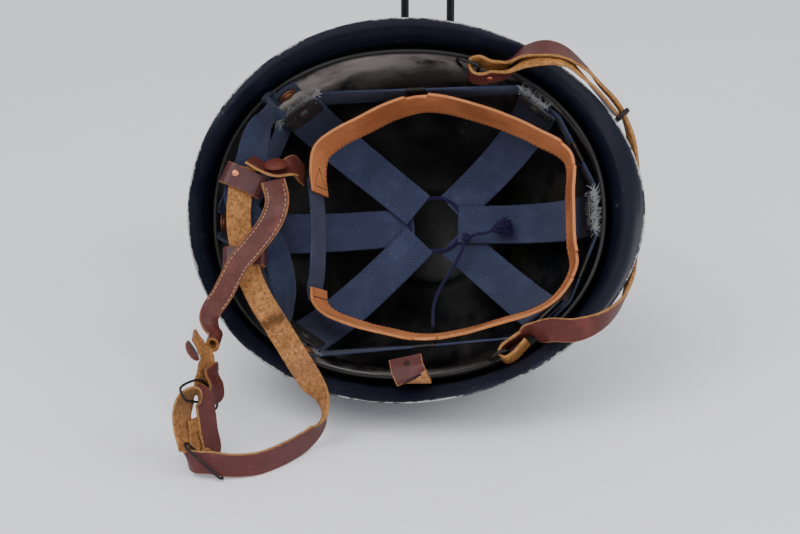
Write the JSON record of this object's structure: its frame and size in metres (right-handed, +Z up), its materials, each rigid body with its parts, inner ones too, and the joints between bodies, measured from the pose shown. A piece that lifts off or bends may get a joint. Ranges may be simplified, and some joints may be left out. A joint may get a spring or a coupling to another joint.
{
  "type": "police helmet on a wire stand",
  "caption": "Two-bowl steel helmet with webbing suspension, leather head band and leather chin and brow straps, lying open side forward against a plain bent wire stand.",
  "frame": {"origin": "on the floor under the middle of the whole part's box", "axes": "+Z up, +X along the helmet from nape to brow, -Y the side that the helmet's opening faces"},
  "size_m": [0.2837, 0.2713, 0.2487],
  "materials": {
    "shell_paint": "worn gloss",
    "liner": "satin",
    "webbing": "matt",
    "lace": "matt",
    "head_band_leather": "matt",
    "strap_leather": "satin",
    "keeper_leather": "gloss",
    "rivet_leather": "gloss",
    "dark_metal": "satin",
    "anchor_metal": "rusted",
    "copper": "satin",
    "stand_wire": "satin"
  },
  "bodies": {
    "root": {"steel_shell": "shell_paint", "liner_bowl": "liner", "perimeter_webbing": "webbing", "crown_lace": "lace", "lace_knot": "lace", "lace_tail_short": "lace", "lace_tail_long": "lace", "lace_tassel": "lace", "head_band": "head_band_leather", "head_band_rear_web": "webbing", "nape_webbing": "webbing", "nape_tab_upper": "webbing", "nape_tab_lower": "webbing", "strap_joint": "strap_leather", "joint_rivet": "rivet_leather", "brow_strap": "strap_leather", "brow_slide": "dark_metal", "brow_loop_right": "dark_metal", "brow_loop_left": "dark_metal", "brow_rivet_right": "copper", "side_tab": "strap_leather", "chin_strap": "strap_leather", "keeper_upper": "keeper_leather", "keeper_lower": "keeper_leather", "chin_slide": "dark_metal", "branch_strap": "strap_leather", "link_strap": "strap_leather", "wire_ring": "dark_metal", "link_rivet": "rivet_leather", "keeper_rivet": "copper", "wire_stand": "stand_wire", "crown_band_brow": "webbing", "corner_plate_brow": "dark_metal", "crown_band_brow_right": "webbing", "corner_plate_brow_right": "dark_metal", "crown_band_nape_right": "webbing", "corner_plate_nape_right": "dark_metal", "crown_band_nape": "webbing", "corner_plate_nape": "dark_metal", "crown_band_nape_left": "webbing", "corner_plate_nape_left": "dark_metal", "crown_band_brow_left": "webbing", "corner_plate_brow_left": "dark_metal", "head_band_clip_right": "dark_metal", "head_band_clip_brow_right": "dark_metal", "head_band_clip_brow_left": "dark_metal", "head_band_clip_left": "dark_metal", "nape_anchor_upper": "anchor_metal", "nape_anchor_lower": "anchor_metal", "nape_anchor_rear": "anchor_metal"}
  },
  "joints": []
}
